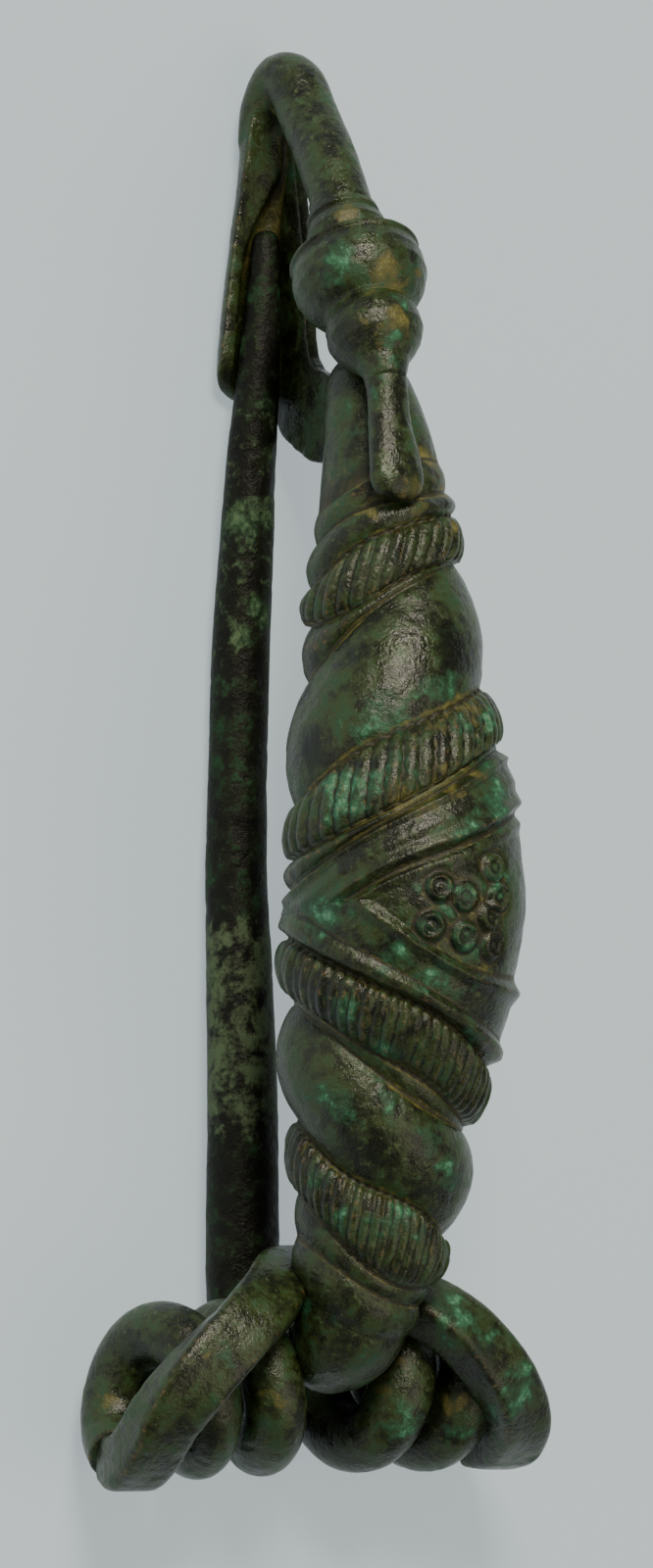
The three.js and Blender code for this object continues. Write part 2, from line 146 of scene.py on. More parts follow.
def tubeSurface(stations, sides, steps, away, power=2.0):
    # tube along a smooth path; its section is a rounded rectangle with one side turned to face `away`
    stations = np.array([list(row) + [row[3]] * (5 - len(row)) for row in stations], float)
    n = len(stations) - 1
    knots = np.concatenate([[0], np.cumsum(np.sqrt(np.linalg.norm(np.diff(stations[:, :3], axis=0),
                                                                  axis=1)))])
    u = np.linspace(0, 1, steps + 1) * n
    k = np.minimum(u.astype(int), n - 1)
    where = knots[k] + (u - k) * (knots[k + 1] - knots[k])
    table = np.column_stack([knots, stations[:, :3]])
    centre = readRows(table, where)
    tangent = np.gradient(centre, axis=0)
    tangent /= np.linalg.norm(tangent, axis=1)[:, None]
    out = away(centre)
    out = out - (out * tangent).sum(1)[:, None] * tangent
    out /= np.linalg.norm(out, axis=1)[:, None]
    side = np.cross(tangent, out)
    half = readRows(np.column_stack([knots, stations[:, 3:5]]), where)
    q = 2 * np.pi * (np.arange(sides) + 0.5) / sides
    c, s = np.cos(q), np.sin(q)
    f = (np.abs(c) ** power + np.abs(s) ** power) ** (-1 / power)
    rings = (centre[:, None] + side[:, None] * (half[:, 0, None] * (c * f))[..., None]
             + out[:, None] * (half[:, 1, None] * (s * f))[..., None])
    return ringSurface(rings)


def fromAxis(p):
    return np.column_stack([p[:, 0], 0 * p[:, 0], p[:, 2]])


def fromBelow(p):
    return np.tile([0.0, 0.0, 1.0], (len(p), 1))


# bow
bow = {
    "sides": 208, "lean": math.radians(30), "backHeight": 0.85,
    # x, centre y, centre z, radius at the bottom of the grooves
    "spine": [
        (-0.42, 1.0, 3.1, 0.0), (-0.3, 1.0, 3.2, 0.75), (0.05, 1.0, 3.55, 1.65), (0.84, 1.0, 4.11, 2.48),
        (2.0, 0.9, 4.72, 2.95), (3.53, 0.8, 5.27, 3.25), (5.83, 0.6, 5.88, 3.62), (8.62, 0.4, 6.29, 3.92),
        (11.5, 0.2, 6.72, 4.2), (14.5, 0.1, 7.27, 4.51), (17.97, 0.0, 7.95, 5.15), (21.42, 0.0, 8.95, 5.8),
        (25.68, 0.0, 9.7, 6.27), (29.16, 0.0, 9.65, 6.1), (32.4, 0.0, 9.34, 5.7), (34.84, 0.0, 8.98, 5.28),
        (38.12, 0.0, 8.29, 4.66), (41.68, 0.0, 7.68, 4.17), (44.41, 0.0, 7.4, 3.86), (48.21, 0.0, 7.2, 3.55),
        (52.06, 0.0, 6.7, 3.0), (54.86, 0.1, 6.05, 2.45), (56.0, 0.1, 5.7, 2.02), (56.7, 0.1, 5.4, 1.35),
        (57.05, 0.1, 5.25, 0.7), (57.15, 0.1, 5.2, 0.0)],
    # x of each ring line as a cubic in s, -1 and +1 being the two flanks the rings tilt between
    "lines": {
        "c1": (50.21, 1.39, -0.82, 0), "c2": (48.29, 0.87, -0.64, 0.62), "g1": (46.49, 1.64, -0.82, 0.48),
        "g2": (43.43, 2.43, 0.02, -0.67), "g3": (42.82, 2.77, -0.99, 0.56), "g4": (35.43, 2.23, -0.64, 1.1),
        "g5a": (31.63, 3.05, 0.33, 0.2), "g5": (31.13, 3.24, -0.2, 0.67), "fu": (27.62, 2.54, -1.27, 1.88),
        "fl": (24.35, -4.32, 1.04, 0.46), "g6": (21.06, -2.55, -0.2, -1.02),
        "g7a": (17.71, -2.54, 0.11, -1.04),
        "g7": (16.56, -3.38, 0.87, -0.09), "g8": (10.69, -1.66, 0.66, -1.54), "g9": (6.73, -2.93, 1.5, 0.21),
        "c10": (5.6, -2.2, 0.79, 0.27), "c11": (3.15, -1.47, 1.09, 0)},
    # between two lines: rows, height, fullness, ribs all round, how far the ribs lean, how deep they are cut
    "bands": [
        ("c1", "c2", 6, 0.2, 1.0, 0, 0, 0), ("c2", "g1", 14, 0.5, 0.8, 0, 0, 0),
        ("g1", "g2", 24, 0.8, 0.45, 30, 0.5, 0.42), ("g2", "g3", 10, 0.5, 0.8, 0, 0, 0),
        ("g3", "g4", 52, 0.95, 0.75, 0, 0, 0), ("g4", "g5a", 28, 0.9, 0.45, 40, 0.3, 0.42),
        ("g5a", "g5", 9, 0.55, 0.8, 0, 0, 0), ("g5", "g6", 0, 0, 0, 0, 0, 0),
        ("g6", "g7a", 26, 1.05, 0.45, 58, 0.2, 0.32), ("g7a", "g7", 8, 0.2, 1.0, 0, 0, 0),
        ("g7", "g8", 46, 1.15, 0.75, 0, 0, 0), ("g8", "g9", 30, 0.95, 0.45, 50, 0.2, 0.3),
        ("g9", "c10", 8, 0.2, 1.0, 0, 0, 0), ("c10", "c11", 16, 0.28, 1.0, 0, 0, 0)],
    # chevron panel: heights of the nested ribs across each arm
    "upperArm": [(0, 0), (0.1, 0.6), (0.2, 0.44), (0.42, 0.6), (0.55, 0.52), (0.72, 0.72), (0.88, 0.18),
                 (1, 0.42), (1.15, 0.24)],
    "lowerArm": [(0, 0), (0.12, 0.76), (0.22, 0.76), (0.38, 0.4), (0.8, 0.38), (0.97, 0.64), (1.15, 0.24)],
    "armRows": (44, 46, 36),
    # ringed bosses in the chevron's field: x, s
    "bosses": [(26.93, 0.27), (26.43, 0.48), (24.82, 0.2), (24.33, 0.5), (28.1, 0.73), (26.51, 0.76),
               (25.43, 0.7), (23.88, 0.75)],
    "bossRadius": 0.58}


def line(name, s):
    c = bow["lines"][name]
    return c[0] + s * (c[1] + s * (c[2] + s * c[3]))


def across(arm, t):
    rows = np.array(arm)
    i = np.clip(np.searchsorted(rows[:, 0], t, side="right") - 1, 0, len(rows) - 2)
    f = np.clip((t - rows[i, 0]) / (rows[i + 1, 0] - rows[i, 0]), 0, 1)
    f = 0.5 * f + 0.5 * f * f * (3 - 2 * f)
    return rows[i, 1] + (rows[i + 1, 1] - rows[i, 1]) * f


def chevronRows(s):
    # x and height of each row of the panel; the two arms meet on a mitre
    top, bottom = line("g5", s), line("g6", s)
    up, down = np.maximum(0.3, top - line("fu", s)), np.maximum(0.3, line("fl", s) - bottom)
    mitre = (top * down + bottom * up) / (up + down)
    meet = (top - mitre) / up
    upper, lower = bow["upperArm"], bow["lowerArm"]

    def height(t, arm, other):
        near = np.where(meet >= 1.15, 0, 1 - smoothStep(0, 0.12, meet - t))
        return across(arm, t) * (1 - near / 2) + across(other, np.minimum(t, meet)) * near / 2

    first, middle, last = bow["armRows"]
    xs, lifts = [], []
    for t in np.linspace(0, 1.15, first):
        u = np.minimum(t, meet)
        xs.append(top - u * up)
        lifts.append(height(u, upper, lower))
    a, b = top - np.minimum(1.15, meet) * up, bottom + np.minimum(1.15, meet) * down
    for k in np.linspace(0, 1, middle + 2)[1:-1]:
        xs.append(a + (b - a) * k)
        lifts.append(np.where(meet > 1.15, 0.24, height(np.minimum(meet, 1.15), upper, lower)))
    for t in np.linspace(1.15, 0, last)[:-1]:
        u = np.minimum(t, meet)
        xs.append(bottom + u * down)
        lifts.append(height(u, lower, upper) * (1 + 0.3 * smoothStep(0.4, 1, s)))
    return xs, lifts


def bowSurface():
    q = 2 * np.pi * np.arange(bow["sides"]) / bow["sides"]
    angle = q - 0.35 * np.sin(q)                # rows lie closer together on the face
    s, c = np.sin(angle), np.cos(angle)
    back = np.where(c < 0, bow["backHeight"], 1.0)
    xs, lifts = [], []
    for x in np.interp(np.linspace(0, 1, 26), [0, 0.08, 0.25, 0.5, 0.8, 1],
                       [57.14, 57.0, 56.4, 55.2, 53.0, 51.0]):
        xs.append(x + 0 * s)
        lifts.append(0 * s)
    for upper, lower, rows, height, full, ribs, leaning, cut in bow["bands"]:
        if height == 0:
            panelX, panelLift = chevronRows(s)
            xs += panelX
            lifts += [h * back for h in panelLift]
            continue
        a, b = line(upper, s), line(lower, s)
        width = np.maximum(0.04, a - b)
        room = smoothStep(0.1, 1.4, width)
        for t in np.arange(rows) / rows:
            lift = height * room * back * np.sin(np.pi * t) ** full
            if ribs:
                # a row of beads between two plain edges, some more worn than others
                count = angle / (2 * np.pi) * ribs + leaning * (t - 0.5) * 2
                turn, which = count % 1.0, np.floor(count).astype(int) % ribs
                worn = 0.75 + 0.25 * np.sin(which * 2.4 + ribs) * np.sin(which * 0.7)
                lobe = np.sqrt(np.maximum(0, 1 - (2 * turn - 1) ** 2 - (1.7 * (t - 0.5)) ** 4))
                lift = lift * (1 - cut) + height * room * back * cut * 1.15 * lobe * worn
            xs.append(a - width * t)
            lifts.append(lift)
    for t in np.linspace(0, 0.995, 30):
        xs.append(line("c11", s) * (1 - t) - 0.41 * t)
        lifts.append(0 * s)
    x, lift = np.array(xs), np.array(lifts)
    centre = readRows(bow["spine"], x)
    radius = np.maximum(0, centre[..., 2])
    for bossX, bossS in bow["bosses"]:
        arc = (angle - np.arcsin(bossS))
        arc = np.where(c < 0, np.pi - angle - np.arcsin(bossS), arc)
        arc = (arc + np.pi) % (2 * np.pi) - np.pi
        d = np.hypot(x - bossX, arc * (radius + 0.3))
        lift = lift + back * (0.3 * np.exp(-((d - bow["bossRadius"]) / 0.17) ** 2) + 0.24 * np.exp(-(d / 0.22) ** 2)
                              - 0.1 * np.exp(-((d - 0.95) / 0.2) ** 2))
    r = radius + lift
    lean = bow["lean"]
    rings = np.stack([x, centre[..., 0] + r * (c * math.sin(lean) - s * math.cos(lean)),
                      centre[..., 1] + r * (c * math.cos(lean) + s * math.sin(lean))], -1)
    return ringSurface(rings)


# spring: one wire from the bow's head through six coils to the pin, with the chord between its ends
spring = {"coilRadius": 3.2, "bowSideRadius": 2.95, "wire": 1.62, "pitch": 4.05, "bowSidePitch": 4.3,
          "voxel": 0.00014,
          # x, y, z, half width along the wire's face, half thickness
          "chord": [
              (-3.9, 11.6, -1.0, 1.6, 1.5), (-4.05, 11.95, 0.6, 1.7, 1.6), (-3.1, 12.1, 2.6, 1.78, 1.5),
              (-1.3, 11.9, 4.5, 1.85, 1.4), (0.9, 10.6, 5.95, 1.85, 1.35), (3.3, 8.1, 6.1, 1.8, 1.35),
              (4.9, 5.7, 4.7, 1.75, 1.35), (5.9, 4.0, 2.9, 1.65, 1.35), (6.35, 2.6, 1.7, 1.6, 1.3),
              (6.4, 0.8, 1.2, 1.6, 1.3), (6.0, -1.6, 2.6, 1.62, 1.35), (4.2, -4.3, 5.2, 1.68, 1.35),
              (2.7, -6.3, 5.9, 1.68, 1.4), (0.4, -8.5, 5.75, 1.7, 1.45), (-1.7, -10.35, 4.1, 1.75, 1.5),
              (-2.85, -11.1, 2.0, 1.75, 1.6), (-3.05, -11.2, 0.6, 1.72, 1.66),
              (-2.95, -11.1, -0.6, 1.7, 1.66)]}


def coilPoint(degrees, radius, y, half):
    q = np.radians(degrees)
    return np.column_stack([-radius * np.sin(q), y, -radius * np.cos(q), half, half])


def springSurfaces():
    d = np.arange(-5, 811, 27.5)
    half = np.where(d < 60, 1.75, spring["wire"] + 0.13 * (1 - smoothStep(240, 400,
                                                                          d))) + 0.24 * smoothStep(470, 600,
                                                                                                   d)
    radius = (spring["coilRadius"] + 0.3 * np.exp(-((d - 450) / 80) ** 2) - 0.3 * smoothStep(500, 600, d)
              + smoothStep(690, 810, d))
    pinSide = coilPoint(d, radius, pinY + spring["pitch"] * d / 360 + 0.2 * smoothStep(480, 700, d), half)
    d = np.arange(-80, 811, 30)
    bowSide = coilPoint(d, spring["bowSideRadius"] + 0 * d, -2.55 - spring["bowSidePitch"] * (d - 90) / 360,
                        1.9 - 0.05 * (d + 80) / 890)
    bowSide = np.concatenate([[(3.9, 0.8, 5.0, 1.7, 1.7), (3.5, 0.2, 2.4, 1.9, 1.9)], bowSide])
    return [tubeSurface(pinSide, 40, 420, fromAxis), tubeSurface(bowSide, 40, 440, fromAxis)]


# foot and catch-plate
foot = {"voxel": 0.00012, "wallY": 0.25, "wallThickness": 0.8, "restZ": -5.6,
        "wall": [
            (51.25, 1.4), (51.6, -0.6), (52.35, -2.2), (53.4, -3.8), (54.6, -4.75), (58, -5.0), (66, -5.0),
            (71, -5.0),
            (72.9, -4.3), (73.3, -3.4), (71.9, -3.25), (70.8, -3.05), (69, -2.35), (67.3, -2.0), (65.9, -1.7),
            (63.9, -1.35), (61.5, -1.05), (58.75, -0.9), (57.6, -0.6), (56.8, 0.1), (56.3, 1.5),
            (56.1, 4.6), (52.0, 4.8)],
        # x, lip y, lip z, inner half width, depth, thickness below, turn of the section
        "trough": [
            (55.3, 4.05, -3.6, 1.5, 1.15, 0.75, 102), (55.6, 4.08, -3.6, 1.5, 1.18, 0.77, 126),
            (56.1, 4.12, -3.6, 1.5, 1.2, 0.8, 150), (56.8, 4.14, -3.6, 1.5, 1.2, 0.88, 170),
            (57.8, 4.1, -3.6, 1.48, 1.2, 0.9, 180), (59.5, 3.88, -3.65, 1.4, 1.2, 0.86, 180),
            (61.8, 3.6, -3.75, 1.25, 1.12, 0.84, 180), (63.5, 3.32, -3.8, 1.1, 1.02, 0.88, 180),
            (65.7, 3.05, -3.7, 0.72, 0.8, 1.15, 180), (67.3, 2.88, -3.5, 0.3, 0.45, 1.65, 180),
            (68.6, 2.78, -3.3, 0.06, 0.06, 2.2, 180), (70.4, 2.62, -3.2, 0.05, 0.05, 2.2, 180),
            (71.6, 2.4, -3.2, 0.05, 0.05, 2.0, 180)],
        "bar": [
            (68.5, 1.1, -4.5, 1.2, 0.6), (70.2, 1.05, -4.3, 1.6, 1.08), (72.0, 0.85, -3.95, 1.74, 1.5),
            (73.4, 0.55, -2.95, 1.8, 1.62), (72.9, 0.42, -1.7, 1.78, 1.64), (71.3, 0.4, -0.5, 1.74, 1.64),
            (69.5, 0.48, 1.0, 1.72, 1.68), (67.4, 0.6, 2.6, 1.74, 1.72), (64.9, 0.72, 4.2, 1.75, 1.75)],
        # mouldings turned about the foot's own line: distance along it, radius
        "turned": [
            (-0.1, 0.02), (-0.1, 1.7), (0.75, 1.76), (0.88, 2.05), (1.2, 2.1), (1.38, 1.95), (1.6, 2.15),
            (2.2, 2.34),
            (2.8, 2.26), (3.1, 2.15), (3.3, 2.4), (3.75, 3.35), (3.88, 3.66), (4.02, 3.68), (4.2, 3.56),
            (5.0, 3.76), (5.8, 3.75),
            (6.6, 3.42), (7.2, 3.0), (7.6, 2.54), (7.8, 2.4), (8.15, 2.54), (8.7, 2.7), (9.4, 2.7),
            (10.05, 2.45),
            (10.65, 2.0), (11.25, 1.5), (11.9, 1.25), (12.4, 1.05), (12.6, 0.7), (12.6, 0.02)],
        "turnedSides": 144, "turnedSteps": 8,
        "turnedFrom": (65.59, 0.74, 3.62), "turnedTo": (55.84, 1.29, 9.5),
        "tongue": [
            (57.2, 1.22, 8.7, 1.2, 1.2), (55.8, 1.28, 9.4, 1.25, 1.18), (54.3, 1.32, 9.95, 1.22, 1.08),
            (52.1, 1.4, 10.45, 1.36, 1.0), (50.6, 1.45, 10.95, 1.56, 0.95), (49.5, 1.5, 11.25, 1.65, 0.92),
            (48.7, 1.5, 11.4, 1.4, 0.8), (48.3, 1.5, 11.45, 0.8, 0.5), (48.2, 1.5, 11.45, 0.1, 0.1)],
        "neck": [
            (53.4, 0, 6.0, 2.0, 2.0), (54.0, -0.1, 4.3, 1.5, 2.1), (54.2, -0.15, 2.8, 0.9, 2.1),
            (54.3, -0.15, 1.9, 0.5, 1.9), (54.3, -0.15, 1.2, 0.3, 1.4)]}


def wallSurface():
    outline = np.array(foot["wall"])
    n = len(outline)
    near, far = foot["wallY"], foot["wallY"] - foot["wallThickness"]
    points = [(x, near, z) for x, z in outline] + [(x, far, z) for x, z in outline]
    faces = [list(range(n)), list(range(2 * n - 1, n - 1, -1))]
    faces += [[i, (i + 1) % n, (i + 1) % n + n, i + n][::-1] for i in range(n)]
    return np.array(points), faces


def troughSurface():
    rings = []
    for x in np.linspace(55.3, 71.6, 90):
        lip, top, a, depth, under, turn = readRows(foot["trough"], x)
        wallFar = foot["wallY"] - foot["wallThickness"]
        inY, outA = foot["wallY"] + a, (lip - wallFar) / 2
        q = np.pi * (1 + turn / 180 * np.linspace(0, 1, 25))
        inner = np.column_stack([x + 0 * q, inY + a * np.cos(q), top + depth * np.sin(q)])
        q = q[::-1]
        outer = np.column_stack([x + 0 * q, lip - outA + outA * np.cos(q),
                                 top - (depth + under) * np.abs(np.sin(q)) ** 0.8])
        outer[:, 2] = np.maximum(outer[:, 2], foot["restZ"])
        rings.append(np.concatenate([inner, outer]))
    return ringSurface(rings)


def mouldingSurface():
    start, end = np.array(foot["turnedFrom"]), np.array(foot["turnedTo"])
    direction = (end - start) / np.linalg.norm(end - start)
    side = np.array([0, 1, 0]) - direction[1] * direction
    side /= np.linalg.norm(side)
    up = np.cross(side, direction)
    q = 2 * np.pi * np.arange(foot["turnedSides"]) / foot["turnedSides"]
    profile = np.array(foot["turned"])
    fine = []
    for k in range(len(profile) - 1):
        for f in np.linspace(0, 1, foot["turnedSteps"] + 1)[:-1]:
            fine.append(profile[k] * (1 - f) + profile[k + 1] * f)
    fine.append(profile[-1])
    rings = [start + direction * t + r * (np.cos(q)[:, None] * side + np.sin(q)[:, None] * up) for t,
             r in fine]
    return ringSurface(rings)


def footSurfaces():
    def outOfBend(p):
        return np.column_stack([p[:, 0] - 69.8, 0 * p[:, 0], p[:, 2] + 2.9])

    def towardsFoot(p):
        return np.tile([1.0, 0.0, 0.0], (len(p), 1))

    return [wallSurface(), troughSurface(), tubeSurface(foot["bar"], 40, 160, outOfBend),
            tubeSurface(foot["tongue"], 40, 90, fromBelow), tubeSurface(foot["neck"], 32, 40, towardsFoot)]


# pin
pin = {"path": [            # x, y, z, radius across, radius up
    (2.4, 2.64, -3.45, 1.8, 1.84), (4.9, 2.7, -3.66, 2.05, 2.02), (8.0, 2.76, -3.62, 2.08, 2.02),
    (15.5, 2.82, -3.5, 1.99, 1.95), (22.65, 2.87, -3.78, 1.9, 1.86), (28.15, 2.92, -4.05, 1.76, 1.74),
    (33.7, 2.82, -4.1, 1.7, 1.66), (41.4, 2.64, -4.05, 1.66, 1.62), (46.9, 2.44, -3.8, 1.56, 1.52),
    (52.4, 2.22, -3.55, 1.4, 1.34), (55.8, 2.0, -3.38, 1.28, 1.2), (61.3, 1.56, -3.35, 1.0, 0.92),
    (64.2, 1.36, -3.5, 0.8, 0.76), (64.8, 1.32, -3.52, 0.5, 0.48), (64.95, 1.31, -3.52, 0.08, 0.08)],
    # x where the pale bloom starts, is full, fades and ends, and how thick it is
    "paleStretches": [(12, 15, 25, 28, 1.0), (36, 41, 54, 60, 0.75), (26, 28, 36, 40, 0.35)]}


def pinSurface():
    # its root follows the first coil inside the wire, so that no gap opens as it lifts
    coil = spring["coilRadius"]
    root = [(-coil * math.sin(math.radians(d)), pinY + 0.01, -coil * math.cos(math.radians(d)), 1.68, 1.68)
            for d in (16, 10, 5)]
    root.append((0.25, pinY, -3.22, 1.7, 1.7))
    root.append((0.5, pinY, -3.23, 1.74, 1.74))
    return tubeSurface(root + pin["path"], 56, 460, fromBelow)


def merged(name, surfaces, voxel):
    # closed surfaces run together into one skin, as metal worked from one bar
    parts = [addMesh(name + str(i), *surface) for i, surface in enumerate(surfaces)]
    points, faces, start = [], [], 0
    for part in parts:
        part.data.update()
        points += [tuple(v.co) for v in part.data.vertices]
        faces += [[start + i for i in f.vertices] for f in part.data.polygons]
        start = len(points)
        bpy.data.objects.remove(part)
    mesh = bpy.data.meshes.new(name)
    mesh.from_pydata(points, [], faces)
    piece = bpy.data.objects.new(name, mesh)
    bpy.context.scene.collection.objects.link(piece)
    remesh = piece.modifiers.new("one skin", "REMESH")
    remesh.mode, remesh.voxel_size = "VOXEL", voxel
    skin = bpy.data.meshes.new_from_object(piece.evaluated_get(bpy.context.evaluated_depsgraph_get()))
    piece.modifiers.clear()
    piece.data = skin
    return piece


def relaxed(co, edges, rounds, amount=0.5):
    # each point moves towards the mean of its neighbours
    n = len(co)
    a, b = edges[:, 0], edges[:, 1]
    share = np.bincount(a, minlength=n) + np.bincount(b, minlength=n)
    share = np.maximum(share, 1)[:, None]
    for _ in range(rounds):
        mean = np.column_stack([np.bincount(a, co[b, k], n) + np.bincount(b, co[a, k],
                                                                          n) for k in range(co.shape[1])]) / share
        co = co + amount * (mean - co)
    return co


def readMesh(mesh):
    co = np.empty(len(mesh.vertices) * 3)
    mesh.vertices.foreach_get("co", co)
    edges = np.empty(len(mesh.edges) * 2, np.int64)
    mesh.edges.foreach_get("vertices", edges)
    return (co.reshape(-1, 3) - origin) * 1000, edges.reshape(-1, 2)


def writeMesh(mesh, co):
    mesh.vertices.foreach_set("co", np.clip(toFrame(co), cadLow, cadHigh).ravel())
    mesh.update()


def normalsOf(mesh):
    n = np.empty(len(mesh.vertices) * 3)
    mesh.vertices.foreach_get("normal", n)
    return n.reshape(-1, 3)


def addAttribute(mesh, name, values):
    layer = mesh.attributes.new(name, "FLOAT", "POINT")
    layer.data.foreach_set("value", np.asarray(values, np.float32))


# wear of the skin, in mm; rounds are how far its neighbours are averaged to find what is hollow
skin = {"wear": 0.03, "pits": 0.05, "crust": 0.022, "greenCrust": 0.02, "fineRounds": 8, "fineDepth": 0.03,
        "broadRounds": 50, "broadDepth": 0.14}
# colour of the skin: x, y, z and radius of each patch
patches = {
    "green": [
        (36.4, 3.2, 13.1, 1.2), (38.0, 0.1, 13.6, 1.0), (37.7, 1.3, 13.6, 0.7), (35.8, 4.1, 12.6, 0.7),
        (32.0, 5.6, 13.0, 1.4), (32.8, 4.8, 13.7, 0.8), (33.5, 3.5, 14.6, 0.8), (35.6, -1.1, 14.7, 0.8),
        (36.2, -2.9, 13.8, 0.7), (30.4, 5.8, 12.2, 0.7), (61.6, 3.7, 8.7, 0.8), (60.6, 3.9, 8.4, 0.5),
        (61.3, -0.9, 9.4, 0.4), (59.2, 0.6, 10.5, 0.5), (57.0, 1.7, 10.6, 0.5), (55.6, 1.6, 10.9, 0.5),
        (54.5, 2.3, 10.5, 0.4), (52.3, 2.2, 8.7, 0.5), (49.0, 3.1, 8.7, 0.5), (31.6, -2.2, 15.5, 1.1),
        (30.2, -0.3, 16.0, 0.8), (25.2, 6.3, 11.6, 1.0), (25.9, 5.8, 12.8, 0.7), (26.0, 6.6, 11.0, 0.7),
        (26.7, 2.6, 15.7, 0.8), (26.4, 0.0, 16.2, 1.0), (24.8, 2.5, 15.5, 0.8), (24.1, -0.1, 15.8, 1.0),
        (27.3, -1.9, 15.8, 0.8), (25.6, 1.5, 15.9, 0.8), (23.3, 3.7, 14.5, 0.8), (22.0, 1.6, 15.0, 0.8),
        (21.5, -0.3, 15.0, 0.7), (19.2, -1.6, 13.9, 0.7), (20.9, 6.2, 11.4, 0.8), (20.1, 5.4, 12.2, 0.8),
        (18.1, 2.9, 12.6, 0.7), (13.6, 0.0, 12.4, 0.8), (15.7, 2.3, 12.1, 0.7), (11.5, -1.6, 11.7, 0.8),
        (15.2, 4.6, 10.8, 0.8), (9.1, 1.6, 10.9, 0.8), (9.6, 4.0, 9.7, 0.5), (8.3, 0.1, 10.9, 0.5),
        (11.5, 4.7, 8.7, 0.7), (4.6, 4.0, 6.5, 0.5), (3.5, 3.3, 7.4, 0.5), (4.1, -4.2, 6.8, 0.8),
        (3.5, -5.3, 7.2, 0.7), (2.7, -6.8, 7.3, 0.5), (-0.5, -8.4, 7.0, 1.0), (0.4, -8.8, 7.1, 0.8),
        (-1.4, -8.2, 6.0, 0.7), (-1.9, -3.1, 4.2, 0.8), (-2.7, -2.9, 3.7, 0.4), (-2.5, -6.9, 3.8, 0.7),
        (1.5, 9.7, 7.5, 0.5)],
    "teal": [
        (38.6, 4.8, 10.6, 1.9), (35.9, 5.9, 9.8, 1.4), (45.0, 2.4, 11.2, 1.1), (44.0, 3.3, 10.7, 0.8),
        (46.2, 0.5, 11.7, 0.7), (16.2, 4.7, 10.9, 1.4), (25.1, 0.4, 16.1, 1.4), (29.5, 6.2, 10.3, 1.1)],
    "soil": [
        (60.9, 1.0, 9.8, 1.3), (60.3, 2.0, 9.5, 0.5), (60.8, -0.5, 9.5, 0.7), (58.1, 1.5, 10.8, 1.1),
        (58.0, 2.8, 10.3, 0.4), (64.4, 2.1, 6.5, 0.9), (50.8, -1.7, 9.6, 1.0), (49.3, -2.6, 9.3, 0.8),
        (48.6, 0.5, 11.7, 1.0), (48.1, 2.1, 10.2, 0.8), (47.2, -2.2, 10.7, 0.7), (37.0, -1.3, 13.3, 1.1),
        (35.8, 0.8, 14.3, 0.7), (31.5, 2.6, 14.7, 1.1), (32.6, 0.9, 15.0, 1.0), (33.2, -1.0, 14.9, 0.8),
        (0.3, -2.2, 3.9, 0.7), (-0.8, -6.3, 3.8, 0.8), (-0.7, 5.5, 4.4, 0.8), (2.0, 11.0, 7.1, 0.4),
        (-0.8, 12.5, -2.0, 0.8), (1.1, -2.5, 3.9, 0.5)],
    "gloss": [
        (39.8, 1.9, 12.9, 1.4), (40.2, -0.5, 13.1, 1.2), (50.1, 2.5, 11.9, 1.0), (63.2, 2.1, 9.2, 0.7),
        (59.7, 2.3, 9.9, 0.5), (65.3, 1.6, 6.2, 0.5), (66.3, 1.6, 5.1, 0.5)],
    "dark": [
        (40.2, -0.8, 13.1, 1.3), (34.3, 6.0, 9.9, 1.1), (50.2, 3.2, 7.8, 0.8),
        (1.6, -6.2, 7.2, 1.1), (0.8, -6.8, 7.2, 0.8), (59.1, 2.7, 10.1, 0.5)]}


def patchMask(co, kind):
    # ragged rather than round
    bent = co + 0.32 * np.sin(co[:, [1, 2, 0]] * 2.9 + 1) + 0.2 * np.sin(co[:, [2, 0, 1]] * 6.7)
    total = np.zeros(len(co))
    for x, y, z, r in patches[kind]:
        d = np.sqrt(((bent - (x, y, z)) ** 2).sum(1)) / r
        total = np.maximum(total, 1 - smoothStep(0.45, 1.7, d))
    return total


def weather(piece, smoothing=0, paleStretches=()):
    # softens the skin, pits it, and stores how hollow or proud each point is and what it is coated with
    mesh = piece.data
    co, edges = readMesh(mesh)
    if smoothing:
        co = relaxed(co, edges, smoothing)
        writeMesh(mesh, co)
    normal = normalsOf(mesh)
    near = relaxed(co, edges, skin["fineRounds"])
    wide = relaxed(near, edges, skin["broadRounds"])
    hollow = np.clip(((near - co) * normal).sum(1) / skin["fineDepth"], -1, 1)
    sunk = np.clip(((wide - co) * normal).sum(1) / skin["broadDepth"], -1, 1)
    lumps = cloud(co, 2.6, 3) * 0.5 + cloud(co, 1.1, 5) * 0.35 + cloud(co, 0.5, 7) * 0.25
    scar = smoothStep(0.25, 0.7, cloud(co, 0.75, 11) * 0.6 + cloud(co, 2.2, 13) * 0.6)
    crust = cloud(co, 0.42, 17) * 0.6 + cloud(co, 0.9, 19) * 0.4
    green, soilPatch, gloss = patchMask(co, "green"), patchMask(co, "soil"), patchMask(co, "gloss")
    soil = np.clip(0.9 * smoothStep(0.05, 0.55, sunk) + soilPatch + 0.25 * smoothStep(0.1, 0.6,
                                                                                      hollow) - 0.2, 0, 1)
    pale = 0 * sunk
    for start, full, fading, end, most in paleStretches:
        pale = np.maximum(pale, most * smoothStep(start, full, co[:, 0]) * (1 - smoothStep(fading, end,
                                                                                           co[:, 0])))
    rough = 1 - gloss
    co = co + normal * (skin["wear"] * (lumps - 0.5) * (0.4 + 0.6 * rough) - skin["pits"] * scar * rough
                        + skin["crust"] * crust * rough + skin["greenCrust"] * green)[:, None]
    writeMesh(mesh, co)
    values = {"hollow": hollow, "green": green, "teal": patchMask(co, "teal"), "soil": soil,
              "gloss": gloss, "dark": patchMask(co, "dark"), "pale": pale}
    for key, value in values.items():
        addAttribute(mesh, key, value)
    for polygon in mesh.polygons:
        polygon.use_smooth = True


